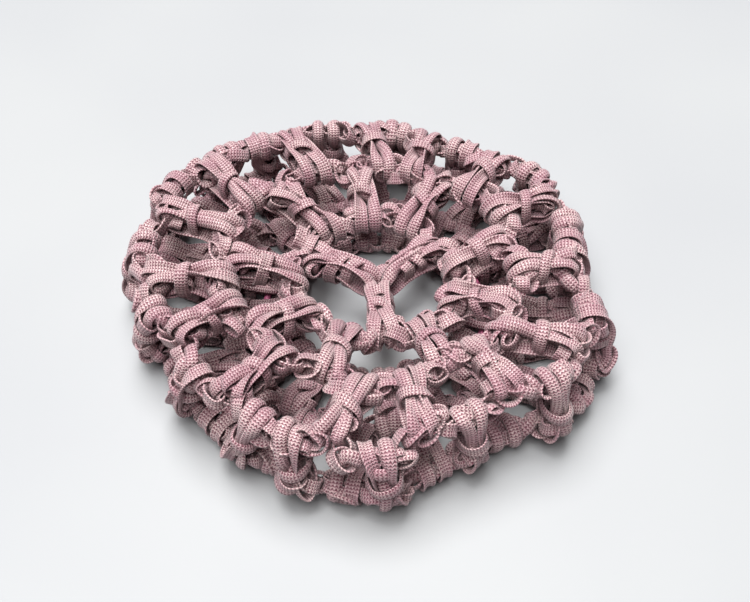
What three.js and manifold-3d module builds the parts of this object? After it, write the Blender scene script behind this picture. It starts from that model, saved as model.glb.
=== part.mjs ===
// A crochet hair snood: a round net of ribbon, worked from the middle outwards and gathered
// on an elastic cord. It lies on a table with its mouth down, puffed at the rim and slack in
// the middle. Each round is a ring of chains whose stitches wrap round the chains of the
// round inside it, so the rounds hold each other as links do. Millimetres, +Z up.

import * as THREE from 'three';
import { mergeVertices } from 'three/addons/utils/BufferGeometryUtils.js';
import Module from 'manifold-3d';

const wasm = await Module();
wasm.setup();

// Driving dimensions
const rimReach = 53.5;          // from the middle to the cloth's mid line at the widest place
const rimLift = 20.0;           // height of the cloth's mid line on top of the puffed rim
const mouthReach = 21.5;        // radius of the last chain, at the mouth
const chainRadius = 2.3;        // a crocheted chain of the ribbon, as a round cord
const ribbonWrap = 0.7;         // the ribbon that a stitch lays round a chain
const clearance = 0.3;          // between a stitch and the chain or cord inside it
const stitchWidth = 7.4;        // two turns of ribbon side by side
const headWrap = 0.3;           // the ribbon that a stitch's head lays round its own chain
const elasticRadius = 0.9;      // the elastic cord
const elasticInset = 4.4;       // from the last chain back to the elastic, along the cloth
const crownShift = { x: 4, y: -2 };   // the middle lies off the centre of the rim
const firstTurn = 0.10;         // where the first stitch of the middle lies, as a share of a turn
const squeeze = 0.75;           // the most of its own room that a crowded stitch fills
const bowShare = 0.22;          // how far a chain is pulled outwards, as a share of a round
const lean = 0.35;              // how far a head keeps to its foot's place rather than an even one
const chainSides = 4;           // flats round a chain and round the elastic

// The cloth from its middle to its mouth, as shares of rimReach and of rimLift
const section = [
  { reach: 0.00, lift: 0.56 },
  { reach: 0.22, lift: 0.60 },
  { reach: 0.46, lift: 0.76 },
  { reach: 0.68, lift: 0.95 },
  { reach: 0.82, lift: 1.00 },
  { reach: 0.94, lift: 0.86 },
  { reach: 1.00, lift: 0.57 },
  { reach: 0.96, lift: 0.30 },
  { reach: 0.83, lift: 0.16 },
  { reach: 0.62, lift: 0.14 },
  { reach: mouthReach / rimReach, lift: 0.14 },
];

// The rim's bulges and dents, anticlockwise from +X, as shares of rimReach and of rimLift
const bulges = [
  { reach: 0.96, lift: 1.00 },
  { reach: 1.03, lift: 0.94 },
  { reach: 0.89, lift: 0.93 },
  { reach: 0.90, lift: 0.92 },
  { reach: 0.94, lift: 0.95 },
  { reach: 1.05, lift: 0.98 },
  { reach: 1.02, lift: 1.03 },
  { reach: 0.94, lift: 0.96 },
  { reach: 0.97, lift: 1.02 },
  { reach: 1.06, lift: 0.95 },
  { reach: 0.97, lift: 1.00 },
  { reach: 1.13, lift: 1.04 },
];

// The rounds of stitches, from the middle out
const rounds = [
  { name: 'round_1_centre', stitches: 3 },
  { name: 'round_2_crown', stitches: 9 },
  { name: 'round_3_shoulder', stitches: 15 },
  { name: 'round_4_rim', stitches: 18 },
  { name: 'round_5_underside', stitches: 20 },
  { name: 'round_6_hem', stitches: 20 },
];

const profile = new THREE.SplineCurve(
  section.map(({ reach, lift }) => new THREE.Vector2(reach * rimReach, lift * rimLift)),
);
profile.arcLengthDivisions = 400;
const clothLength = profile.getLength();
const roundHeight = clothLength / rounds.length;
const bow = bowShare * roundHeight;
const headDepth = chainRadius + headWrap;
const footDepth = chainRadius + clearance + ribbonWrap;

// A value of the bulge table at a turn, eased between its rows
function bulgeAt(turn, column) {
  const place = THREE.MathUtils.euclideanModulo(turn, 1) * bulges.length;
  const row = Math.floor(place);
  const here = bulges[row][column];
  const next = bulges[(row + 1) % bulges.length][column];
  return THREE.MathUtils.lerp(here, next, THREE.MathUtils.smoothstep(place - row, 0, 1));
}

// A point of the cloth's mid surface: turn goes round it, distance runs from its middle
function clothPoint(turn, distance) {
  const share = THREE.MathUtils.clamp(distance / clothLength, 0, 1);
  const flat = profile.getPointAt(share);
  const outward = flat.x / rimReach;
  const reach = flat.x * (1 + (bulgeAt(turn, 'reach') - 1) * outward ** 2);
  const raised = THREE.MathUtils.smoothstep(flat.y, 0.2 * rimLift, rimLift);
  const lift = flat.y * (1 + (bulgeAt(turn, 'lift') - 1) * raised);
  const angle = turn * 2 * Math.PI;
  const slack = 1 - outward ** 2;
  return new THREE.Vector3(
    reach * Math.cos(angle) + crownShift.x * slack,
    reach * Math.sin(angle) + crownShift.y * slack,
    lift,
  );
}

// That point with the way round the cloth there, the way outwards and the outer side
function frameAt(turn, distance) {
  const centre = clothPoint(turn, distance);
  const nudge = 0.01 * clothLength;
  const round = clothPoint(turn + 0.005, distance).sub(clothPoint(turn - 0.005, distance));
  const outward = clothPoint(turn, distance + nudge).sub(clothPoint(turn, distance - nudge));
  const normal = outward.cross(round).normalize();
  round.normalize();
  return { turn, centre, round, normal, outward: round.clone().cross(normal) };
}

// Closed meshes as solids, and solids as geometry
function solidOf(geometry) {
  geometry.deleteAttribute('normal');
  geometry.deleteAttribute('uv');
  const merged = mergeVertices(geometry, 1e-4);
  return new wasm.Manifold(new wasm.Mesh({
    numProp: 3,
    vertProperties: Float32Array.from(merged.attributes.position.array),
    triVerts: Uint32Array.from(merged.index.array),
  }));
}

function geometryOf(solid) {
  const { vertProperties, triVerts } = solid.getMesh();
  const geometry = new THREE.BufferGeometry();
  geometry.setAttribute('position', new THREE.BufferAttribute(vertProperties, 3));
  geometry.setIndex(new THREE.BufferAttribute(triVerts, 1));
  return geometry;
}

function joined(solids) {
  return solids.reduce((whole, piece) => whole.add(piece));
}

// The room round the cloth for each of some stitches, where a dent leaves least of it
function roomAt(distance, count) {
  const reach = profile.getPointAt(THREE.MathUtils.clamp(distance / clothLength, 0, 1)).x;
  const dent = (Math.min(...bulges.map((row) => row.reach)) - 1) * (reach / rimReach) ** 2;
  return (2 * Math.PI * (reach * (1 + dent) - footDepth)) / count;
}

// Feet stand side by side on the open parts of the chain below, which lie between its heads.
// Heads lean from there towards an even spread, each round half a stitch on from the last.
const headDistance = (k) => (k + 1) * roundHeight;
const footDistance = (k) => (k === 0 ? headDepth : headDistance(k - 1) + bow);

function footPlaces(k, below) {
  const { stitches } = rounds[k];
  const perTurn = roomAt(footDistance(k), 1);
  const spaces = Array.from({ length: stitches }, (_, j) => {
    return Math.floor(((j + 0.5) * below.length) / stitches);
  });
  return spaces.map((space, j) => {
    const sharing = spaces.filter((other) => other === space).length;
    const slot = j - spaces.indexOf(space);
    const from = below[space].head.turn;
    const to = space + 1 < below.length ? below[space + 1].head.turn : below[0].head.turn + 1;
    const room = ((to - from) * perTurn - below[0].headWidth) / sharing;
    const turn = from + (below[0].headWidth / 2 + (slot + 0.5) * room) / perTurn;
    return { turn, width: Math.min(stitchWidth, squeeze * room) };
  });
}

const stitchRows = [];
let evenStart = firstTurn;
rounds.forEach(({ stitches }, k) => {
  const even = Array.from({ length: stitches }, (_, j) => evenStart + j / stitches);
  const above = rounds[k + 1]?.stitches ?? 0;
  const headWidth = Math.min(stitchWidth, squeeze * roomAt(headDistance(k) + bow, stitches + above));
  const places = k === 0
    ? even.map((turn) => ({ turn, width: 2 * chainRadius }))
    : footPlaces(k, stitchRows[k - 1]);
  stitchRows.push(places.map(({ turn, width }, j) => ({
    foot: frameAt(turn, footDistance(k)),
    footWidth: width,
    head: frameAt(THREE.MathUtils.lerp(turn, even[j], 1 - lean), headDistance(k)),
    headWidth,
  })));
  evenStart += above === 0 ? 0 : 0.5 / above;
});

// The corners of a cord's section, which has flats on top, below and on both sides
function cordCorners(radius) {
  return Array.from({ length: chainSides }, (_, i) => {
    const angle = (2 * Math.PI * (i + 0.5)) / chainSides;
    return new THREE.Vector2(radius * Math.cos(angle), radius * Math.sin(angle));
  });
}

// A ring bent to run through frames: each circle of it stands square to the run there
function cord(frames, radius) {
  const count = frames.length;
  const corners = cordCorners(radius);
  const ring = new THREE.TorusGeometry(1, 0.5, chainSides, count);
  for (let side = 0; side <= chainSides; side += 1) {
    const { x, y } = corners[side % chainSides];
    for (let i = 0; i <= count; i += 1) {
      const { centre, outward, normal } = frames[i % count];
      const corner = centre.clone().addScaledVector(outward, x).addScaledVector(normal, y);
      ring.attributes.position.setXYZ(side * (count + 1) + i, ...corner.toArray());
    }
  }
  return solidOf(ring);
}

// The chain of round k runs all the way round: level at its own heads, and pulled outwards and
// straight wherever a stitch of the next round grabs it
function chain(k) {
  const heads = stitchRows[k].map(({ head }) => head);
  const grabs = (stitchRows[k + 1] ?? []).flatMap((grip) => [-1, 1].map((side) => {
    const reach = side * (holeHalf(grip) + clearance);
    const centre = grip.foot.centre.clone().addScaledVector(grip.foot.round, reach);
    return { ...grip.foot, centre, turn: grip.foot.turn + side * 0.001 };
  }));
  return cord([...heads, ...grabs].sort((a, b) => a.turn - b.turn), chainRadius);
}

// Half the length of the hole through a stitch's foot, at its longest
function holeHalf({ foot, footWidth, head, headWidth }) {
  const span = head.centre.clone().sub(foot.centre);
  const part = (chainRadius + clearance) / span.length();
  const wider = Math.max(headWidth - footWidth, 0) / 2;
  return footWidth / 2 + part * (wider + Math.abs(span.dot(foot.round)));
}

// The elastic's middle in a hem stitch, measured from the stitch's foot: outwards, then up
function elasticPlace({ foot, head }) {
  const span = head.centre.clone().sub(foot.centre);
  const place = new THREE.Vector2(span.dot(foot.outward), span.dot(foot.normal));
  return place.multiplyScalar(1 - elasticInset / span.length());
}

// One stitch, a band with round ends: its foot is wrapped round the chain below, and its head
// holds its own chain. The band is drawn as seen along the chain below, extruded along it, and
// leans and widens towards its head.
function stitch(k, j) {
  const { foot, footWidth, head, headWidth } = stitchRows[k][j];
  const span = head.centre.clone().sub(foot.centre);
  const end = new THREE.Vector2(span.dot(foot.outward), span.dot(foot.normal));
  const sidestep = span.dot(foot.round);
  const outline = new THREE.Shape(Array.from({ length: 8 }, (_, i) => {
    const angle = ((i + 0.5) * Math.PI) / 4;
    const atHead = Math.cos(angle) > 0;
    const corner = new THREE.Vector2((atHead ? headDepth : footDepth) / Math.cos(Math.PI / 8), 0);
    corner.rotateAround(new THREE.Vector2(), angle + end.angle());
    return atHead ? corner.add(end) : corner;
  }));
  const spread = clearance / Math.cos(Math.PI / chainSides);
  if (k > 0) {
    outline.holes.push(new THREE.Path(cordCorners(chainRadius + spread)));
  }
  if (k === rounds.length - 1) {
    const middle = elasticPlace({ foot, head });
    const corners = cordCorners(elasticRadius + spread).map((corner) => corner.add(middle));
    outline.holes.push(new THREE.Path(corners));
  }
  const band = new THREE.ExtrudeGeometry(outline, { depth: 1, bevelEnabled: false });
  const corners = band.attributes.position;
  for (let i = 0; i < corners.count; i += 1) {
    const place = new THREE.Vector2(corners.getX(i), corners.getY(i));
    const share = Math.max(place.dot(end) / end.lengthSq(), 0);
    const width = THREE.MathUtils.lerp(footWidth, headWidth, share);
    const corner = foot.centre.clone().addScaledVector(foot.outward, place.x);
    corner.addScaledVector(foot.normal, place.y);
    corner.addScaledVector(foot.round, (0.5 - corners.getZ(i)) * width + sidestep * share);
    corners.setXYZ(i, ...corner.toArray());
  }
  return solidOf(band);
}

// A whole round: its chain, joined to its stitches
function roundBody(k) {
  return joined([chain(k), ...stitchRows[k].map((_, j) => stitch(k, j))]);
}

// The elastic runs through the hem's stitches, straight inside each of them
function elastic() {
  const hem = stitchRows[rounds.length - 1];
  const frames = hem.flatMap((grip) => [-1, 1].map((side) => {
    const { foot, head, footWidth, headWidth } = grip;
    const span = head.centre.clone().sub(foot.centre);
    const place = elasticPlace(grip);
    const share = 1 - elasticInset / span.length();
    const half = Math.max(footWidth, headWidth) / 2 + clearance;
    const centre = foot.centre.clone().addScaledVector(foot.outward, place.x);
    centre.addScaledVector(foot.normal, place.y);
    centre.addScaledVector(foot.round, span.dot(foot.round) * share + side * half);
    return { ...foot, centre };
  }));
  return cord(frames, elasticRadius);
}

// The table top, which flattens the stitches that rest on it
function tableTop() {
  const side = 4 * rimReach;
  const slab = new THREE.BoxGeometry(side, side, side);
  return solidOf(slab.translate(0, 0, -side / 2));
}

const ribbonCloth = new THREE.MeshStandardMaterial({ color: 0xb98c90, roughness: 0.55, metalness: 0 });
const elasticCloth = new THREE.MeshStandardMaterial({ color: 0x9c5470, roughness: 0.45, metalness: 0 });

function meshOf(name, solid, material) {
  const mesh = new THREE.Mesh(geometryOf(solid), material);
  mesh.name = name;
  return mesh;
}

const snood = new THREE.Group();
rounds.forEach(({ name }, k) => {
  const body = k === rounds.length - 1 ? roundBody(k).subtract(tableTop()) : roundBody(k);
  snood.add(meshOf(name, body, ribbonCloth));
});
snood.add(meshOf('elastic_cord', elastic(), elasticCloth));

// The origin is on the table, under the middle of the outline
const outline = new THREE.Box3().setFromObject(snood);
const middle = outline.getCenter(new THREE.Vector3());
snood.position.set(-middle.x, -middle.y, -outline.min.z);

export default snood;
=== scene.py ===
# %% [markdown]
# # A crochet hair snood in ribbon
# A snood like this is worked in rounds from its middle: every round is a chain of ribbon
# loops, and its stitches wrap round the chain of the round before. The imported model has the
# same rounds as plain cords and bands. Here each of them is dressed with real loops of ribbon.

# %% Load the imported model
import math
import random

import bmesh
import bpy
import numpy as np
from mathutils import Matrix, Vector


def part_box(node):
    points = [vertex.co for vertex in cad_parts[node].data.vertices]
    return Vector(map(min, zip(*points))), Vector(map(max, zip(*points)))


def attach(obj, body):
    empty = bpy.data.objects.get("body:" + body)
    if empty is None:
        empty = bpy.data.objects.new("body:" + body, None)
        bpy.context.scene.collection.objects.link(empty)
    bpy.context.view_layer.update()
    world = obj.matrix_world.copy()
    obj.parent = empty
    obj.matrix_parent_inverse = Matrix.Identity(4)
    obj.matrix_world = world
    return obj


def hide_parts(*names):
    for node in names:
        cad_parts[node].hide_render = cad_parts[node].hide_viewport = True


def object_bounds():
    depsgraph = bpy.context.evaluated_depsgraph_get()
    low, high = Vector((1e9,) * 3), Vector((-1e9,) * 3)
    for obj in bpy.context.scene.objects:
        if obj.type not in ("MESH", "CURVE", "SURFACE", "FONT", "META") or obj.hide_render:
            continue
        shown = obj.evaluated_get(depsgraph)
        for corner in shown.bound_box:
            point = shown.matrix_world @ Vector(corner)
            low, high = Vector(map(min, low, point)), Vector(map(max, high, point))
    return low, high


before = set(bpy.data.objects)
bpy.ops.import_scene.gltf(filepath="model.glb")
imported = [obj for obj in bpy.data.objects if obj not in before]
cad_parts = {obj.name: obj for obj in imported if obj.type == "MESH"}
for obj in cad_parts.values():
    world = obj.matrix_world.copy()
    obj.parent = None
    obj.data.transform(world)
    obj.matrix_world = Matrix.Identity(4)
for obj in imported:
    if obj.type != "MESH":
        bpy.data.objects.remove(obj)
cad_low, cad_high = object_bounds()
print("packed model:", len(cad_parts), "nodes")

# %% [markdown]
# ## The shape of the cloth
# On the table the snood is a slack disc with a puffed rim that turns under to its mouth. It
# could be traced point by point, but the same few named sizes and short tables as in the
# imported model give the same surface, so that the ribbon lies where the solids are. The tables
# are shares of the rim's reach and height, and all sizes here are in millimetres.

# %% Sizes of the cloth
RIM_REACH = 53.5
RIM_LIFT = 20.0
MOUTH_REACH = 21.5
CHAIN_RADIUS = 2.3
CLEARANCE = 0.3
STITCH_WIDTH = 7.4
ELASTIC_RADIUS = 0.9
ELASTIC_INSET = 4.4
CROWN_SHIFT = (4.0, -2.0)
FIRST_TURN = 0.10
SQUEEZE = 0.75
BOW_SHARE = 0.22
LEAN = 0.35
HEAD_DEPTH = CHAIN_RADIUS + 0.3
FOOT_DEPTH = CHAIN_RADIUS + CLEARANCE + 0.7

SECTION = [
    (0.00, 0.56), (0.22, 0.60), (0.46, 0.76), (0.68, 0.95), (0.82, 1.00), (0.94, 0.86),
    (1.00, 0.57), (0.96, 0.30), (0.83, 0.16), (0.62, 0.14), (MOUTH_REACH / RIM_REACH, 0.14),
]
BULGES = [
    (0.96, 1.00), (1.03, 0.94), (0.89, 0.93), (0.90, 0.92), (0.94, 0.95), (1.05, 0.98),
    (1.02, 1.03), (0.94, 0.96), (0.97, 1.02), (1.06, 0.95), (0.97, 1.00), (1.13, 1.04),
]
ROUNDS = {
    "round_1_centre": 3, "round_2_crown": 9, "round_3_shoulder": 15,
    "round_4_rim": 18, "round_5_underside": 20, "round_6_hem": 20,
}
print("rounds:", len(ROUNDS), "with", sum(ROUNDS.values()), "stitches")


# %% Helpers for smooth shapes
def smoothstep(value, low, high):
    share = min(max((value - low) / (high - low), 0.0), 1.0)
    return share * share * (3 - 2 * share)


def unit(vector):
    return vector / np.linalg.norm(vector)


def through(points, count, closed):
    """Catmull-Rom points through a row of points, count of them to a span."""
    points = np.asarray(points, float)
    size = len(points)
    rows = np.arange(size if closed else size - 1)
    wrap = (lambda i: i % size) if closed else (lambda i: np.clip(i, 0, size - 1))
    before, here = points[wrap(rows - 1)], points[wrap(rows)]
    after, later = points[wrap(rows + 1)], points[wrap(rows + 2)]
    run = (np.arange(count) / count)[None, :, None]
    start, stop = (after - before) / 2, (later - here) / 2
    cubic = 2 * here - 2 * after + start + stop
    square = -3 * here + 3 * after - 2 * start - stop
    spread = [part[:, None, :] for part in (cubic, square, start, here)]
    curve = ((spread[0] * run + spread[1]) * run + spread[2]) * run + spread[3]
    curve = curve.reshape(-1, points.shape[1])
    return curve if closed else np.vstack([curve, points[-1:]])


print("a diagonal way, made one long:", unit(np.array([1.0, 1.0, 0.0])).round(3))

# %% The cloth's profile from the middle to the mouth
PROFILE_POINTS = 40
profile = through(np.array(SECTION) * (RIM_REACH, RIM_LIFT), PROFILE_POINTS, closed=False)
profile_run = np.insert(np.cumsum(np.linalg.norm(np.diff(profile, axis=0), axis=1)), 0, 0.0)
CLOTH_LENGTH = profile_run[-1]
ROUND_HEIGHT = CLOTH_LENGTH / len(ROUNDS)
BOW = BOW_SHARE * ROUND_HEIGHT
print(f"cloth from middle to mouth: {CLOTH_LENGTH:.1f} mm")

# %% [markdown]
# ## A point anywhere on the cloth
# A place on the cloth is told by its turn round the middle, from 0 to 1, and its distance
# from the middle along the cloth. One function takes that to a point in space, with the
# rim's dents and bulges, and another gives the ways round, off and outwards there. A mesh of
# the cloth could be searched for the same, but these few sums are exact and quick.

# %% Points and directions of the cloth
TURN_NUDGE = 0.005
DISTANCE_NUDGE = 0.01 * CLOTH_LENGTH


def profile_at(distance):
    place = min(max(distance, 0.0), CLOTH_LENGTH)
    return [np.interp(place, profile_run, profile[:, column]) for column in (0, 1)]


def bulge_at(turn, column):
    place = (turn % 1.0) * len(BULGES)
    row = int(place)
    here, following = BULGES[row][column], BULGES[(row + 1) % len(BULGES)][column]
    return here + (following - here) * smoothstep(place - row, 0, 1)


def cloth_point(turn, distance):
    flat_reach, flat_lift = profile_at(distance)
    outward = flat_reach / RIM_REACH
    reach = flat_reach * (1 + (bulge_at(turn, 0) - 1) * outward ** 2)
    raised = smoothstep(flat_lift, 0.2 * RIM_LIFT, RIM_LIFT)
    lift = flat_lift * (1 + (bulge_at(turn, 1) - 1) * raised)
    angle, slack = turn * 2 * math.pi, 1 - outward ** 2
    return np.array([
        reach * math.cos(angle) + CROWN_SHIFT[0] * slack,
        reach * math.sin(angle) + CROWN_SHIFT[1] * slack,
        lift,
    ])


def frame_at(turn, distance):
    """A point of the cloth, with the way round it, the way outwards and its outer side."""
    behind, ahead = (cloth_point(turn + way * TURN_NUDGE, distance) for way in (-1, 1))
    inner, outer = (cloth_point(turn, distance + way * DISTANCE_NUDGE) for way in (-1, 1))
    around = unit(ahead - behind)
    normal = unit(np.cross(outer - inner, around))
    return {
        "turn": turn, "centre": cloth_point(turn, distance), "round": around,
        "normal": normal, "outward": np.cross(around, normal),
    }


print("halfway to the mouth, mm:", cloth_point(0.0, CLOTH_LENGTH / 2).round(1))


# %% [markdown]
# ## Where the stitches stand
# Each stitch has a foot round the chain below and a head that its own chain runs through. A
# crocheter puts the next foot into the open stretch between two heads, which is what these
# functions count out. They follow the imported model, so that the loops cover its solids.

# %% Lay out the stitches
def room_at(distance, count):
    reach = profile_at(distance)[0]
    dent = (min(row[0] for row in BULGES) - 1) * (reach / RIM_REACH) ** 2
    return 2 * math.pi * (reach * (1 + dent) - FOOT_DEPTH) / count


def foot_distance(k):
    return HEAD_DEPTH if k == 0 else k * ROUND_HEIGHT + BOW


def foot_places(k, stitches, below):
    per_turn = room_at(foot_distance(k), 1)
    spaces = [int((j + 0.5) * len(below) / stitches) for j in range(stitches)]
    places = []
    for j, space in enumerate(spaces):
        start = below[space]["head"]["turn"]
        last = space + 1 == len(below)
        stop = below[0]["head"]["turn"] + 1 if last else below[space + 1]["head"]["turn"]
        room = ((stop - start) * per_turn - below[0]["head_width"]) / spaces.count(space)
        slot = j - spaces.index(space) + 0.5
        turn = start + (below[0]["head_width"] / 2 + slot * room) / per_turn
        places.append((turn, min(STITCH_WIDTH, SQUEEZE * room)))
    return places


counts = list(ROUNDS.values())
stitch_rows = []
even_start = FIRST_TURN
for k, stitches in enumerate(counts):
    above = counts[k + 1] if k + 1 < len(counts) else 0
    even = [even_start + j / stitches for j in range(stitches)]
    head_distance = (k + 1) * ROUND_HEIGHT
    head_width = min(STITCH_WIDTH, SQUEEZE * room_at(head_distance + BOW, stitches + above))
    if k == 0:
        places = [(turn, 2 * CHAIN_RADIUS) for turn in even]
    else:
        places = foot_places(k, stitches, stitch_rows[-1])
    stitch_rows.append([
        {
            "foot": frame_at(turn, foot_distance(k)), "foot_width": width,
            "head": frame_at(turn + (even[j] - turn) * (1 - LEAN), head_distance),
            "head_width": head_width,
        }
        for j, (turn, width) in enumerate(places)
    ])
    even_start += 0.5 / above if above else 0
print("stitches:", [len(row) for row in stitch_rows])


# %% [markdown]
# ## The paths of the chains and of the elastic
# A chain runs level through its own heads and is pulled outwards where the next round's feet
# grab it. A smooth closed curve through those places is its path, and points set evenly
# along it will carry the chain's loops. The elastic runs through the stitches of the hem.

# %% Curves of the chains and the elastic
SIDE_BY_SIDE = 0.001


def span_of(grip):
    return grip["head"]["centre"] - grip["foot"]["centre"]


def hole_half(grip):
    span = span_of(grip)
    part = (CHAIN_RADIUS + CLEARANCE) / np.linalg.norm(span)
    wider = max(grip["head_width"] - grip["foot_width"], 0) / 2
    return grip["foot_width"] / 2 + part * (wider + abs(span @ grip["foot"]["round"]))


def chain_stations(k):
    stations = [(row["head"]["turn"], row["head"]) for row in stitch_rows[k]]
    for grip in stitch_rows[k + 1] if k + 1 < len(stitch_rows) else []:
        foot = grip["foot"]
        for side in (-1, 1):
            reach = side * (hole_half(grip) + CLEARANCE)
            centre = foot["centre"] + foot["round"] * reach
            stations.append((foot["turn"] + side * SIDE_BY_SIDE, {**foot, "centre": centre}))
    return [station for _, station in sorted(stations, key=lambda pair: pair[0])]


def elastic_stations():
    stations = []
    for grip in stitch_rows[-1]:
        foot, span = grip["foot"], span_of(grip)
        share = 1 - ELASTIC_INSET / np.linalg.norm(span)
        half = max(grip["foot_width"], grip["head_width"]) / 2 + CLEARANCE
        for side in (-1, 1):
            centre = foot["centre"] + foot["outward"] * (span @ foot["outward"]) * share
            centre = centre + foot["normal"] * (span @ foot["normal"]) * share
            centre = centre + foot["round"] * ((span @ foot["round"]) * share + side * half)
            stations.append({**foot, "centre": centre})
    return stations


def evenly(stations, step):
    """Points about step apart along the closed curve through stations, with their frames."""
    rows = [np.hstack([s["centre"], s["normal"]]) for s in stations]
    curve = through(rows, 12, closed=True)
    curve = np.vstack([curve, curve[:1]])
    gaps = np.linalg.norm(np.diff(curve[:, :3], axis=0), axis=1)
    run = np.insert(np.cumsum(gaps), 0, 0.0)
    count = round(run[-1] / step)
    places = np.arange(count) * run[-1] / count
    rows = np.array([np.interp(places, run, column) for column in curve.T]).T
    centre, normal = rows[:, :3], rows[:, 3:]
    along = np.roll(centre, -1, axis=0) - np.roll(centre, 1, axis=0)
    along /= np.linalg.norm(along, axis=1)[:, None]
    side = np.cross(along, normal)
    side /= np.linalg.norm(side, axis=1)[:, None]
    return centre, along, side, np.cross(side, along)


print("elastic passes", len(elastic_stations()), "places")

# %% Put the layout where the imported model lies
# The elastic is in both, so the lowest corners of its two boxes give the way between them
CORNER = 0.7071 * ELASTIC_RADIUS
elastic_corners = np.array([
    station["centre"] + station["outward"] * x * CORNER + station["normal"] * z * CORNER
    for station in elastic_stations() for x in (-1, 1) for z in (-1, 1)
])
cad_elastic_low = np.array(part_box("elastic_cord")[0]) * 1000
SHIFT = cad_elastic_low - elastic_corners.min(axis=0)
print("layout moved by", SHIFT.round(2), "mm")

# %% [markdown]
# ## A loop of ribbon
# The ribbon is a flat knitted tape, 3.6 mm wide and 0.7 mm thick, with soft round edges. Every
# loop of it is first only a closed path with the way across the tape at each point. All the
# loops are laid out like this before any mesh is made, because they still have to settle. The
# draws of chance are seeded, so each run lays the same loops.

# %% Helpers for laying out a loop
RIBBON_WIDTH = 3.6
RIBBON_THICKNESS = 0.68
FEWEST_POINTS = 12
chance = random.Random(7)


def lay_ribbon(lay, path, across, width, cup):
    lay.append({"path": path, "across": across, "width": width, "cup": cup})


def resampled(path, columns, step):
    """A closed path, and what goes with each of its points, at even steps along it."""
    rows = np.hstack([path, columns])
    rows = np.vstack([rows, rows[:1]])
    run = np.insert(np.cumsum(np.linalg.norm(np.diff(rows[:, :3], axis=0), axis=1)), 0, 0.0)
    count = max(round(run[-1] / step), FEWEST_POINTS)
    places = np.arange(count) * run[-1] / count
    rows = np.array([np.interp(places, run, column) for column in rows.T]).T
    for _ in range(2):
        rows = (np.roll(rows, 1, axis=0) + 2 * rows + np.roll(rows, -1, axis=0)) / 4
    return rows[:, :3], rows[:, 3:]


def turned(vectors, axis, angle):
    """Vectors turned about an axis, or each about its own."""
    axis = axis / np.linalg.norm(axis, axis=-1, keepdims=True)
    dot = (vectors * axis).sum(axis=-1, keepdims=True)
    cos, sin = np.cos(angle)[..., None], np.sin(angle)[..., None]
    return vectors * cos + np.cross(axis, vectors) * sin + axis * dot * (1 - cos)


print("ribbon:", RIBBON_WIDTH, "mm wide,", RIBBON_THICKNESS, "mm thick")


# %% [markdown]
# ## The links of a chain
# A crochet chain is a row of loops, each pulled through the one before. In flat ribbon they
# never lie alike: one is seen from its edge, the next is turned with its face up. So each
# link is an oval loop along the chain, turned about a quarter from the last one, with some
# chance in its turn, twist and size.

# %% A helper for one link of a chain
LINK_STEP = 3.6
LINK_POINTS = 40
LINK_DETAIL = 1.35


def chain_link(lay, centre, along, side, normal, turn):
    angles = np.arange(LINK_POINTS) / LINK_POINTS * 2 * math.pi
    long_half = LINK_STEP * chance.uniform(0.85, 1.05)
    wide_half = chance.uniform(1.3, 2.0)
    heading = along + side * chance.uniform(-0.4, 0.4) + normal * chance.uniform(-0.3, 0.3)
    heading = unit(heading)
    plane = unit(np.cross(normal, heading)) * -math.cos(turn) + normal * math.sin(turn)
    plane = unit(plane - heading * (plane @ heading))
    flat = np.cross(heading, plane)
    centre = centre + side * chance.uniform(-0.5, 0.5) + normal * chance.uniform(-0.3, 0.6)
    path = centre + np.outer(np.cos(angles) * long_half, heading)
    path = path + np.outer(np.sin(angles) * wide_half, plane)
    path = path + np.outer(np.sin(2 * angles) * chance.uniform(-0.7, 0.7), flat)
    twist = chance.uniform(-0.9, 0.9) * np.sin(angles + chance.uniform(0, 6.3))
    way = np.roll(path, -1, axis=0) - np.roll(path, 1, axis=0)
    across = turned(np.tile(flat, (LINK_POINTS, 1)), way, twist + chance.uniform(-0.4, 0.4))
    path, across = resampled(path, across, LINK_DETAIL)
    width = RIBBON_WIDTH * chance.uniform(0.8, 0.98)
    lay_ribbon(lay, path, across, width, cup=chance.choice((-1, 1)) * chance.uniform(0.3, 0.8))


print("a link of the chain every", LINK_STEP, "mm")


# %% [markdown]
# ## A stitch
# In a stitch the ribbon goes over the chain below and back, so two bands lie side by side over
# that chain and draw together further on, where a loop makes a bar across them. Beyond the
# bar two more loops fan out round the stitch's own chain. Each is a closed path through a
# few places, which are measured from the foot to the head, round the cloth and off it.

# %% Helpers for a loop through places of a stitch
def place_in(grip, share, around, off, beyond=0.0):
    """A place at a share of the way from foot to head, with the cloth's directions there."""
    foot, head = grip["foot"], grip["head"]
    mixed = min(max(share, 0), 1)
    ways = [
        unit(foot[way] * (1 - mixed) + head[way] * mixed)
        for way in ("round", "normal", "outward")
    ]
    centre = foot["centre"] * (1 - share) + head["centre"] * share
    return centre + ways[0] * around + ways[1] * off + ways[2] * beyond, ways


def loop_through(lay, rows, width, cup, step):
    """Ribbon through (place, across, twist) rows, closed and smoothed."""
    rows = np.array([np.hstack([place, across, [twist]]) for place, across, twist in rows])
    rows = through(rows, 8, closed=True)
    path, twist = rows[:, :3], rows[:, 6]
    way = np.roll(path, -1, axis=0) - np.roll(path, 1, axis=0)
    across = turned(rows[:, 3:6], way, twist)
    path, across = resampled(path, across, step)
    lay_ribbon(lay, path, across, width, cup)


first_grip = stitch_rows[0][0]
print("midway up the first stitch, mm:", place_in(first_grip, 0.5, 0.0, 0.0)[0].round(1))

# %% A helper for the two bands of a stitch
FOOT_BEND = 2.95
HEAD_BEND = 2.3
FOOT_INSET = 1.55
HEAD_INSET = 1.7
BAND_DETAIL = 1.5


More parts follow.
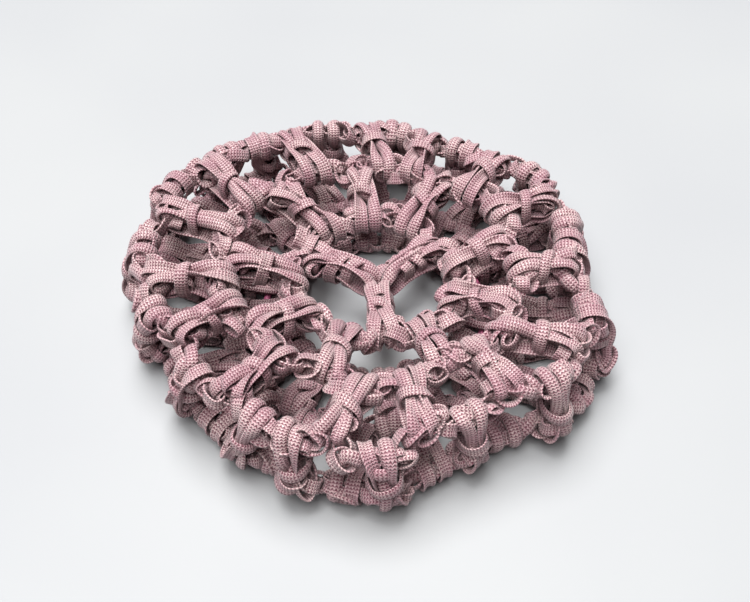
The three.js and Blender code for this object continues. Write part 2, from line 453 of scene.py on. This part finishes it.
def stitch_band(lay, grip, side, gather, fold):
    width = RIBBON_WIDTH * chance.uniform(0.84, 0.98)
    foot_place = max(grip["foot_width"] / 2 - FOOT_INSET, 1.3) * side
    head_place = max(grip["head_width"] / 2 - HEAD_INSET, 1.1) * side
    high, low = FOOT_BEND + chance.uniform(-0.1, 0.7), FOOT_BEND - 0.25
    tight = foot_place * gather
    roll = fold * math.acos(min(abs(tight) * 2 / (width + 0.5), 1))
    stops = [
        (0.0, foot_place, 0.0, -high, 0.0), (0.0, foot_place, high, 0.0, 0.1),
        (0.32, (foot_place + tight) / 2 + chance.uniform(-0.3, 0.3), high - 0.1, 0.0, 0.7),
        (0.62, tight, 2.2 + chance.uniform(-0.2, 0.3), 0.0, 1.0),
        (0.9, (tight + head_place) / 2, 2.0, 0.0, 0.6),
        (1.0, head_place, 0.0, HEAD_BEND, 0.0), (1.0, head_place, -HEAD_BEND, 0.0, 0.0),
        (0.5, (foot_place + head_place) / 2, -chance.uniform(0.6, 1.6), 0.0, -0.4),
        (0.0, foot_place, -low, 0.0, 0.0),
    ]
    rows = []
    for share, around, off, beyond, lean in stops:
        place, ways = place_in(grip, share, around, off, beyond)
        rows.append((place, ways[0], side * roll * lean + chance.uniform(-0.15, 0.15)))
    cup = chance.choice((-1, 1, 1)) * chance.uniform(0.8, 1.3)
    loop_through(lay, rows, width, cup, BAND_DETAIL)


print("bands bend round their chain at", FOOT_BEND, "mm")

# %% A helper for the bar across the bands
BAR_INSET = 1.75
BAR_DETAIL = 1.25


def stitch_bar(lay, grip, share, gather):
    half = max(grip["foot_width"] / 2 - BAR_INSET, 1.0) * gather + chance.uniform(1.8, 2.4)
    tilt = chance.uniform(-1.7, 1.7)
    high, low = chance.uniform(3.5, 4.1), chance.uniform(2.7, 3.1)
    stops = [
        (half, 0.3, 0.0), (half * 0.75, high * 0.85, 0.3), (0.0, high, 0.0),
        (-half * 0.75, high * 0.85, -0.3), (-half, 0.3, 0.0),
        (-half * 0.6, -low, 0.0), (half * 0.6, -low, 0.0),
    ]
    rows = []
    for around, off, lean in stops:
        place, ways = place_in(grip, share, around, off, tilt * around / half)
        rows.append((place, ways[2], lean + chance.uniform(-0.25, 0.25)))
    cup = chance.choice((-1, 1, 1)) * chance.uniform(0.3, 0.7)
    loop_through(lay, rows, RIBBON_WIDTH * chance.uniform(0.7, 0.92), cup, BAR_DETAIL)


print("a bar has a point every", BAR_DETAIL, "mm")

# %% A helper for the loops that fan out beyond the bar
FAN_SLANT = 0.45
FAN_DETAIL = 1.55


def stitch_fan(lay, grip, side, share, spread):
    """A loop from under the bar round the stitch's own chain, slanting to one side."""
    reach = grip["head_width"] / 2 * chance.uniform(0.6, 0.9) * spread * side
    near = side * chance.uniform(0.0, 0.8)
    high = chance.uniform(2.5, 3.2)
    span = np.linalg.norm(span_of(grip))
    start = share * span
    rows = []
    for along, around, off, lean in (
        (start - 1.6, near, 0.8, 0.0), (start + 0.2, near, high, 0.2),
        (span - 0.8, (near + reach) / 2, high + 0.2, 0.5), (span + 2.2, reach, 1.6, 0.2),
        (span + 2.3, reach, -1.2, 0.0), (span - 0.4, (near + reach) / 2, -2.6, 0.0),
        (start, near, -1.6, 0.0),
    ):
        place, ways = place_in(grip, along / span, around, off)
        slant = ways[0] - ways[2] * side * FAN_SLANT
        rows.append((place, unit(slant), side * lean * 0.8 + chance.uniform(-0.35, 0.35)))
    cup = chance.choice((-1, 1)) * chance.uniform(0.5, 1.0)
    loop_through(lay, rows, RIBBON_WIDTH * chance.uniform(0.76, 0.92), cup, FAN_DETAIL)


print("a fan slants by", FAN_SLANT)


# %% A helper for a whole stitch
def whole_stitch(lay, grip, node):
    """The loops of one stitch: a slim one in the hem, with more in the middle and below."""
    hem = node == "round_6_hem"
    gather, fold = chance.uniform(0.2, 0.7), chance.choice((-1, 1))
    share = chance.uniform(0.5, 0.62) - 0.28 * hem
    for side in (-1, 1):
        stitch_band(lay, grip, side, gather * (1 - 0.4 * hem), fold)
    stitch_bar(lay, grip, share, gather)
    if node == "round_1_centre":
        stitch_bar(lay, grip, share - 0.3, gather)
    for side in () if hem else (-1, 1):
        stitch_fan(lay, grip, side, share, 1.0)
        if node == "round_5_underside":
            stitch_fan(lay, grip, side, 0.15, 1.8)


print("a stitch spans about", round(ROUND_HEIGHT, 1), "mm")

# %% [markdown]
# ## All the loops, round by round
# Most links of such a chain hold two strands of ribbon side by side, so two links in three
# get a second loop beside them. The last two rounds are turned under and drawn in, and do
# with one strand. The loops of each round are kept by the name of the node they will replace.

# %% Lay out all the loops
SPARED = {name: (2,) for name in ROUNDS}
SPARED["round_5_underside"] = SPARED["round_6_hem"] = (0, 1, 2)
lays = {}
for k, (name, row) in enumerate(zip(ROUNDS, stitch_rows)):
    lay = lays[name] = []
    links = list(zip(*evenly(chain_stations(k), LINK_STEP)))
    for i, (centre, along, side, normal) in enumerate(links):
        turn = i * math.pi / 2 + chance.uniform(-0.6, 0.6)
        chain_link(lay, centre, along, side, normal, turn)
        if i % 3 not in SPARED[name]:
            place = centre + along * LINK_STEP / 2 + side * chance.choice((-1.6, 1.6))
            chain_link(lay, place, along, side, normal, turn + chance.uniform(0.5, 1.5))
    for grip in row:
        whole_stitch(lay, grip, name)
    print(name, "loops of ribbon:", len(lay))

# %% [markdown]
# ## Letting the loops settle
# Laid out by rule, the loops cut through each other, which cloth never does. Blender's own
# cloth solver could push them apart, but hundreds of small loops take it minutes. Here the
# same idea is worked on a few points of each loop: wherever points of two loops come closer
# than the ribbon is thick, they move apart, and the tape turns to lie on its neighbour.

# %% Push the loops apart
CONTACT = 1.15
SETTLE_STEPS = 24
LONGEST_STEP = 0.3
FURTHEST = 1.8
SPREAD_PASSES = 3
TURN_SHARE = 0.5
ELASTIC_DETAIL = 0.9


def close_pairs(points, reach):
    """Index pairs of points closer than reach, found through a grid of boxes that wide."""
    cells = np.floor(points / reach).astype(np.int64)
    cells -= cells.min(axis=0) - 1
    size = cells.max(axis=0) + 2
    keys = (cells[:, 0] * size[1] + cells[:, 1]) * size[2] + cells[:, 2]
    order = np.argsort(keys, kind="stable")
    ranked = keys[order]
    for x in (-1, 0, 1):
        for y in (-1, 0, 1):
            for z in (-1, 0, 1):
                wanted = keys + (x * size[1] + y) * size[2] + z
                first = np.searchsorted(ranked, wanted, "left")
                found = np.searchsorted(ranked, wanted, "right") - first
                one = np.repeat(np.arange(len(points)), found)
                step = np.arange(len(one)) - np.repeat(np.cumsum(found) - found, found)
                yield one, order[np.repeat(first, found) + step]


def settle(loops, fixed):
    """Moves the loops' points apart, and away from fixed points, in small steps."""
    path = np.vstack([loop["path"] for loop in loops])
    across = np.vstack([loop["across"] for loop in loops])
    sizes = [len(loop["path"]) for loop in loops]
    width = np.repeat([loop["width"] for loop in loops], sizes)[:, None]
    owner = np.repeat(np.arange(len(loops)), sizes)
    starts = np.cumsum(sizes) - sizes
    ahead, behind = np.arange(len(path)) + 1, np.arange(len(path)) - 1
    ahead[starts + np.array(sizes) - 1] = starts
    behind[starts] = starts + np.array(sizes) - 1
    rest = path.copy()
    owners = np.concatenate([owner, owner, owner, np.full(len(fixed), -1)])
    for _ in range(SETTLE_STEPS):
        points = np.vstack([path, path + across * width / 3, path - across * width / 3, fixed])
        push = np.zeros_like(points)
        for one, other in close_pairs(points, CONTACT):
            apart = points[one] - points[other]
            gap = np.linalg.norm(apart, axis=1)
            meet = (gap < CONTACT) & (owners[one] != owners[other]) & (gap > 1e-6)
            move = apart[meet] * ((CONTACT - gap[meet]) / gap[meet] / 2)[:, None]
            for column in range(3):
                push[:, column] += np.bincount(
                    one[meet], move[:, column], minlength=len(points)
                )
        middle, plus, minus = (push[i * len(path):(i + 1) * len(path)] for i in range(3))
        shift, turn = (middle + plus + minus) / 3, (plus - minus) / width
        for _ in range(SPREAD_PASSES):
            shift = (shift[ahead] + 2 * shift + shift[behind]) / 4
            turn = (turn[ahead] + 2 * turn + turn[behind]) / 4
        size = np.linalg.norm(shift, axis=1, keepdims=True)
        path = path + shift * np.minimum(1, LONGEST_STEP / np.maximum(size, 1e-9))
        away = path - rest
        size = np.linalg.norm(away, axis=1, keepdims=True)
        path = rest + away * np.minimum(1, FURTHEST / np.maximum(size, 1e-9))
        across = across + turn * TURN_SHARE
        across /= np.linalg.norm(across, axis=1, keepdims=True)
    for loop, begin, size in zip(loops, starts, sizes):
        loop["path"], loop["across"] = path[begin:begin + size], across[begin:begin + size]
    print("loops moved by", (np.linalg.norm(path - rest, axis=1)).mean().round(2), "mm")


elastic_path = evenly(elastic_stations(), ELASTIC_DETAIL)
settle([loop for lay in lays.values() for loop in lay], elastic_path[0])

# %% [markdown]
# ## From paths to ribbon
# Each path could carry a bevelled curve, but a curve twists a tape where it likes. A grid that
# is bent round the closed path keeps both the tape's direction across and its measure along,
# which the knit needs. Solidify then gives the thickness and one subdivision the soft edges.
# Where a loop would sink into the table, it is eased up to lie on it.

# %% Helpers that bend a grid into a loop of ribbon
LOWEST = RIBBON_THICKNESS / 2 + 0.05
EASING = 1.2


def on_table(spot):
    """A place that would sink into the table eased up to lie on it."""
    if spot[2] < LOWEST + EASING:
        spot[2] = LOWEST + EASING * math.exp((spot[2] - LOWEST - EASING) / EASING)
    return spot


def bend_ribbon(mesh, path, across, width, cup):
    """Adds a closed loop of ribbon to a bmesh, along path, with across as its width's way."""
    count = len(path)
    length = np.linalg.norm(np.roll(path, -1, axis=0) - path, axis=1).sum()
    along = np.roll(path, -1, axis=0) - np.roll(path, 1, axis=0)
    along /= np.linalg.norm(along, axis=1)[:, None]
    across = across - along * (across * along).sum(axis=1)[:, None]
    across /= np.linalg.norm(across, axis=1)[:, None]
    face = np.cross(along, across)
    grid = bmesh.ops.create_grid(mesh, x_segments=count, y_segments=2, size=1)["verts"]
    uv = mesh.loops.layers.uv.verify()
    start = chance.uniform(0, 50)
    for side in {side for vert in grid for side in vert.link_faces}:
        for corner in side.loops:
            x, y = corner.vert.co.x, corner.vert.co.y
            corner[uv].uv = (start + (x + 1) / 2 * length, y * width / 2)
    seam = []
    for vert in grid:
        step, row = round((vert.co.x + 1) / 2 * count), round(vert.co.y)
        i = step % count
        spot = path[i] + across[i] * row * width / 2 + face[i] * cup * (0.5 - abs(row))
        vert.co = on_table(spot + SHIFT) / 1000
        if step in (0, count):
            seam.append(vert)
    bmesh.ops.remove_doubles(mesh, verts=seam, dist=1e-6)


print("a point on the table is eased up to", round(on_table([0, 0, 0])[2], 2), "mm")


# %% [markdown]
# ## The six rounds as pieces
# All the loops of a round become one mesh, which takes the place of the round's plain solid
# and rides where that rode. The thickness and the soft edges stay modifiers, which are light
# and easy to change.

# %% Make the rounds of ribbon
def finish_piece(name, mesh, node):
    data = bpy.data.meshes.new(name)
    mesh.to_mesh(data)
    mesh.free()
    piece = bpy.data.objects.new(name, data)
    bpy.context.collection.objects.link(piece)
    for face in data.polygons:
        face.use_smooth = True
    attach(piece, "root")
    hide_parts(node)
    return piece


def soften(piece):
    wall = piece.modifiers.new("ribbon thickness", "SOLIDIFY")
    wall.thickness = RIBBON_THICKNESS / 1000
    wall.offset = 0
    smooth = piece.modifiers.new("soft edges", "SUBSURF")
    smooth.levels = smooth.render_levels = 1


ribbon_pieces = []
for name, lay in lays.items():
    mesh = bmesh.new()
    for loop in lay:
        bend_ribbon(mesh, **loop)
    piece = finish_piece(name + "_ribbon", mesh, name)
    soften(piece)
    ribbon_pieces.append(piece)
    print(name, "triangles:", len(piece.data.polygons) * 24)

# %% [markdown]
# ## The elastic
# A thin round elastic gathers the hem. It could be a bevelled curve, but a grid rolled into a
# closed tube along the path through the hem's stitches is a mesh from the start, as the
# ribbon is.

# %% Roll the elastic
ELASTIC_SIDES = 12


def rolled_cord(path, side, normal, radius):
    mesh = bmesh.new()
    count = len(path)
    grid = bmesh.ops.create_grid(mesh, x_segments=count, y_segments=ELASTIC_SIDES, size=1)
    for vert in grid["verts"]:
        i = round((vert.co.x + 1) / 2 * count) % count
        angle = vert.co.y * math.pi
        spot = path[i] + (side[i] * math.cos(angle) + normal[i] * math.sin(angle)) * radius
        vert.co = (spot + SHIFT) / 1000
    bmesh.ops.remove_doubles(mesh, verts=mesh.verts, dist=1e-6)
    bmesh.ops.recalc_face_normals(mesh, faces=mesh.faces)
    return mesh


centre, _, side, normal = elastic_path
elastic = finish_piece(
    "elastic_smooth", rolled_cord(centre, side, normal, ELASTIC_RADIUS), "elastic_cord"
)
print("elastic:", len(elastic.data.polygons), "faces")


# %% [markdown]
# ## The knit of the ribbon
# Under a lens the ribbon is knitted: rows of small slanting stitches across it, in about five
# ribs. A picture of the knit would have to be unwrapped and kept with the file, so the pattern
# is worked out from the ribbon's own measure along and across, which is in its UV map in
# millimetres. Noise pulls the rows a little uneven. The group gives the height of the yarn,
# from 0 in the gaps to 1, and the material uses it to paint shade into the gaps between the
# stitches.

# %% A node group for the knit
PULL_SCALE = 0.9
PULL_ROWS = 0.9


def math_node(tree, operation, *values):
    node = tree.nodes.new("ShaderNodeMath")
    node.operation = operation
    for socket, value in zip(node.inputs, values):
        if isinstance(value, (int, float)):
            socket.default_value = value
        else:
            tree.links.new(value, socket)
    return node.outputs[0]


def knit_group():
    tree = bpy.data.node_groups.new("knitted ribbon", "ShaderNodeTree")
    for label, default in (("Row", 0.66), ("Rib", 0.74), ("Slant", 0.90)):
        socket = tree.interface.new_socket(label, in_out="INPUT", socket_type="NodeSocketFloat")
        socket.default_value = default
    tree.interface.new_socket("Height", in_out="OUTPUT", socket_type="NodeSocketFloat")
    sizes = tree.nodes.new("NodeGroupInput").outputs
    place = tree.nodes.new("ShaderNodeUVMap")
    parts = tree.nodes.new("ShaderNodeSeparateXYZ")
    tree.links.new(place.outputs[0], parts.inputs[0])
    rib = math_node(tree, "DIVIDE", parts.outputs[1], sizes["Rib"])
    zigzag = math_node(tree, "PINGPONG", rib, 0.5)
    slanted = math_node(tree, "MULTIPLY", zigzag, sizes["Slant"])
    row = math_node(tree, "DIVIDE", parts.outputs[0], sizes["Row"])
    pull = tree.nodes.new("ShaderNodeTexNoise")
    pull.inputs["Scale"].default_value = PULL_SCALE
    tree.links.new(place.outputs[0], pull.inputs["Vector"])
    pulled = math_node(tree, "MULTIPLY_ADD", pull.outputs["Fac"], PULL_ROWS, row)
    phase = math_node(tree, "MULTIPLY", math_node(tree, "ADD", pulled, slanted), 2 * math.pi)
    yarn = math_node(tree, "MULTIPLY_ADD", math_node(tree, "COSINE", phase), 0.5, 0.5)
    rib_phase = math_node(tree, "MULTIPLY", rib, 2 * math.pi)
    groove = math_node(tree, "MULTIPLY_ADD", math_node(tree, "COSINE", rib_phase), 0.5, 0.5)
    height = math_node(tree, "MULTIPLY_ADD", yarn, 0.65, math_node(tree, "MULTIPLY", groove, 0.35))
    firm = math_node(tree, "MULTIPLY_ADD", height, 1.7, -0.2)
    firm.node.use_clamp = True
    out = tree.nodes.new("NodeGroupOutput")
    tree.links.new(firm, out.inputs["Height"])
    return tree


knit = knit_group()
print("knitted ribbon:", len(knit.nodes), "nodes")


# %% [markdown]
# ## Uneven tones
# Nothing here is one flat colour: the dye of the ribbon is cloudy, the elastic is spun from
# many fine threads, and even a painted table has faint clouds. A picture could show this, but
# it would have to be fitted to each piece. Soft noise on the piece's own place in space does
# the same for all three, so it is one node group that each material gives its own values.

# %% A node group for uneven tones
def uneven_tone_group():
    tree = bpy.data.node_groups.new("uneven tone", "ShaderNodeTree")
    for label, kind in (("Scale", "Float"), ("Darker", "Color"), ("Lighter", "Color")):
        tree.interface.new_socket(label, in_out="INPUT", socket_type="NodeSocket" + kind)
    for label, kind in (("Color", "Color"), ("Grain", "Float")):
        tree.interface.new_socket(label, in_out="OUTPUT", socket_type="NodeSocket" + kind)
    given = tree.nodes.new("NodeGroupInput").outputs
    place = tree.nodes.new("ShaderNodeTexCoord")
    noise = tree.nodes.new("ShaderNodeTexNoise")
    tree.links.new(place.outputs["Object"], noise.inputs["Vector"])
    tree.links.new(given["Scale"], noise.inputs["Scale"])
    share = tree.nodes.new("ShaderNodeMapRange")
    share.inputs["From Min"].default_value = 0.35
    share.inputs["From Max"].default_value = 0.65
    tree.links.new(noise.outputs["Fac"], share.inputs["Value"])
    blend = tree.nodes.new("ShaderNodeMix")
    blend.data_type = "RGBA"
    tree.links.new(share.outputs["Result"], blend.inputs["Factor"])
    tree.links.new(given["Darker"], blend.inputs[6])
    tree.links.new(given["Lighter"], blend.inputs[7])
    out = tree.nodes.new("NodeGroupOutput")
    tree.links.new(blend.outputs[2], out.inputs["Color"])
    tree.links.new(noise.outputs["Fac"], out.inputs["Grain"])
    return tree


uneven_tone = uneven_tone_group()
print("uneven tone:", len(uneven_tone.nodes), "nodes")


# %% [markdown]
# ## The ribbon's and the elastic's finish
# The ribbon is soft satin yarn, in its own paler tone where a stitch stands up and a deeper pink
# in the gaps between, which is painted shade. The knit's height therefore both mixes the yarn's
# tone with that painted shade and raises the surface. The elastic is deeper magenta, with the fine
# grain of its threads.

# %% Ribbon and elastic materials
def new_material(name):
    material = bpy.data.materials.new(name)
    material.use_nodes = True
    return material, material.node_tree, material.node_tree.nodes["Principled BSDF"]


def tone(red, green, blue):
    """A colour as the eye names it, from 0 to 255, as the shader takes it."""
    return [((value / 255 + 0.055) / 1.055) ** 2.4 for value in (red, green, blue)] + [1.0]


def uneven(tree, scale, darker, lighter):
    """The uneven tone group, placed in a material with its own scale and two tones."""
    group = tree.nodes.new("ShaderNodeGroup")
    group.node_tree = uneven_tone
    for label, value in (("Scale", scale), ("Darker", darker), ("Lighter", lighter)):
        group.inputs[label].default_value = value
    return group.outputs


def raise_surface(tree, shader, height, strength, distance):
    bump = tree.nodes.new("ShaderNodeBump")
    bump.inputs["Strength"].default_value = strength
    bump.inputs["Distance"].default_value = distance
    tree.links.new(height, bump.inputs["Height"])
    tree.links.new(bump.outputs["Normal"], shader.inputs["Normal"])


ribbon_cloth, tree, shader = new_material("mauve ribbon")
weave = tree.nodes.new("ShaderNodeGroup")
weave.node_tree = knit
dye = uneven(tree, 160.0, tone(178, 143, 149), tone(197, 172, 171))
# Where the knit's height is low, a deeper pink gap tone is mixed in: painted shade between the
# stitches.
painted_gap_shade = tree.nodes.new("ShaderNodeMix")
painted_gap_shade.data_type = "RGBA"
tree.links.new(weave.outputs["Height"], painted_gap_shade.inputs["Factor"])
painted_gap_shade.inputs[6].default_value = tone(112, 60, 74)
tree.links.new(dye["Color"], painted_gap_shade.inputs[7])
tree.links.new(painted_gap_shade.outputs[2], shader.inputs["Base Color"])
raise_surface(tree, shader, weave.outputs["Height"], 0.8, 0.00025)
shader.inputs["Roughness"].default_value = 0.42
shader.inputs["Sheen Weight"].default_value = 0.25
for piece in ribbon_pieces:
    piece.data.materials.append(ribbon_cloth)

elastic_thread, tree, shader = new_material("magenta elastic")
spun = uneven(tree, 1400.0, tone(132, 62, 92), tone(178, 96, 128))
tree.links.new(spun["Color"], shader.inputs["Base Color"])
raise_surface(tree, shader, spun["Grain"], 0.6, 0.0001)
shader.inputs["Roughness"].default_value = 0.5
elastic.data.materials.append(elastic_thread)
print("finished:", ribbon_cloth.name, "and", elastic_thread.name)

# %% [markdown]
# ## Table, light and camera
# The snood lies on a plain pale table top in soft light from above. More of it comes from
# behind than from the front, so the front edge throws a faint shadow. Wide suns light a table
# of any size evenly, where lamps near the snood would leave the table's far end dark. The
# camera looks down at fifty degrees.

# %% Table, light and camera
mesh = bmesh.new()
bmesh.ops.create_grid(mesh, x_segments=1, y_segments=1, size=3)
data = bpy.data.meshes.new("table top")
mesh.to_mesh(data)
mesh.free()
table = bpy.data.objects.new("table_top", data)
table.location.z = cad_low[2]
bpy.context.collection.objects.link(table)
paint, tree, shader = new_material("pale paint")
wash = uneven(tree, 9.0, tone(153, 154, 156), tone(157, 158, 159))
tree.links.new(wash["Color"], shader.inputs["Base Color"])
shader.inputs["Roughness"].default_value = 0.6
data.materials.append(paint)
print("table top at", round(table.location.z * 1000, 2), "mm")

# %% Room light and two soft suns
scene = bpy.context.scene
scene.view_settings.view_transform = "Standard"
scene.view_settings.gamma = 0.9
world = bpy.data.worlds.new("studio")
world.use_nodes = True
tree = world.node_tree
dim_room = tree.nodes["Background"]
dim_room.inputs["Color"].default_value = (0.95, 0.97, 1.0, 1.0)
dim_room.inputs["Strength"].default_value = 0.012
pale_wall = tree.nodes.new("ShaderNodeBackground")
pale_wall.inputs["Strength"].default_value = 0.97
path_of_light = tree.nodes.new("ShaderNodeLightPath")
either = tree.nodes.new("ShaderNodeMixShader")
tree.links.new(path_of_light.outputs["Is Camera Ray"], either.inputs[0])
tree.links.new(dim_room.outputs[0], either.inputs[1])
tree.links.new(pale_wall.outputs[0], either.inputs[2])
tree.links.new(either.outputs[0], tree.nodes["World Output"].inputs["Surface"])
scene.world = world


def soft_light(name, place, softness, power):
    """An even light from the way that place lies in, as wide as softness in degrees."""
    lamp = bpy.data.lights.new(name, "SUN")
    lamp.angle = math.radians(softness)
    lamp.energy = power
    holder = bpy.data.objects.new(name, lamp)
    holder.location = place
    holder.rotation_euler = (-Vector(place)).to_track_quat("-Z", "Y").to_euler()
    bpy.context.collection.objects.link(holder)


soft_light("window behind", (-0.08, 0.26, 0.80), 40, 4.4)
soft_light("lamp above", (-0.14, -0.23, 0.85), 44, 3.6)
print("lights:", len(bpy.data.lights))

# %% Camera
CAMERA_LOOK = Vector((0.0, 0.0, 0.012))
CAMERA_RISE = math.radians(50)
CAMERA_AWAY = 0.250
FRAME_RIGHT = 0.00326
FRAME_DOWN = 0.00303
camera_up = Vector((0, math.sin(CAMERA_RISE), math.cos(CAMERA_RISE)))
camera_back = Vector((0, -math.cos(CAMERA_RISE), math.sin(CAMERA_RISE)))
lens = bpy.data.cameras.new("camera")
lens.lens = 51.5
lens.sensor_width = 36
camera = bpy.data.objects.new("camera", lens)
camera.location = (
    CAMERA_LOOK + camera_back * CAMERA_AWAY + Vector((FRAME_RIGHT, 0, 0))
    - camera_up * FRAME_DOWN
)
camera.rotation_euler = (math.pi / 2 - CAMERA_RISE, 0, 0)
bpy.context.collection.objects.link(camera)
scene.camera = camera
print("camera at", [round(v, 3) for v in camera.location], "m")
